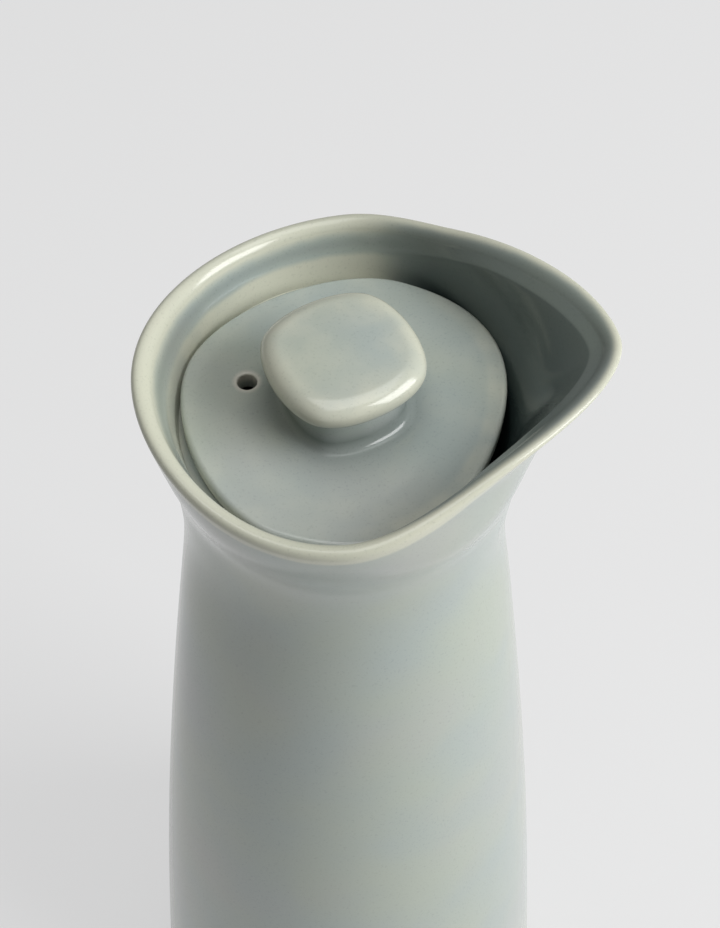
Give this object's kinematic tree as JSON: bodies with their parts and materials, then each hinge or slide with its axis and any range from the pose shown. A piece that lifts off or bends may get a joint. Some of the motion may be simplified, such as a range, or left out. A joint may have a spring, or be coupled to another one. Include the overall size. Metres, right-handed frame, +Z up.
{
  "type": "oil pourer",
  "caption": "Glazed ceramic oil pourer: a tall flared bottle pinched into a pouring lip, with a loose knobbed lid that has an air hole.",
  "frame": {"origin": "middle of the resting face, on the axis of the bottle's round body", "axes": "+Z up along the bottle's axis, +X towards the pouring lip, XZ is the bottle's plane of symmetry"},
  "size_m": [0.0868, 0.0847, 0.208],
  "materials": {
    "glaze": "gloss",
    "lid_glaze": "gloss"
  },
  "bodies": {
    "root": {"bottle": "glaze", "lid": "lid_glaze"}
  },
  "joints": []
}
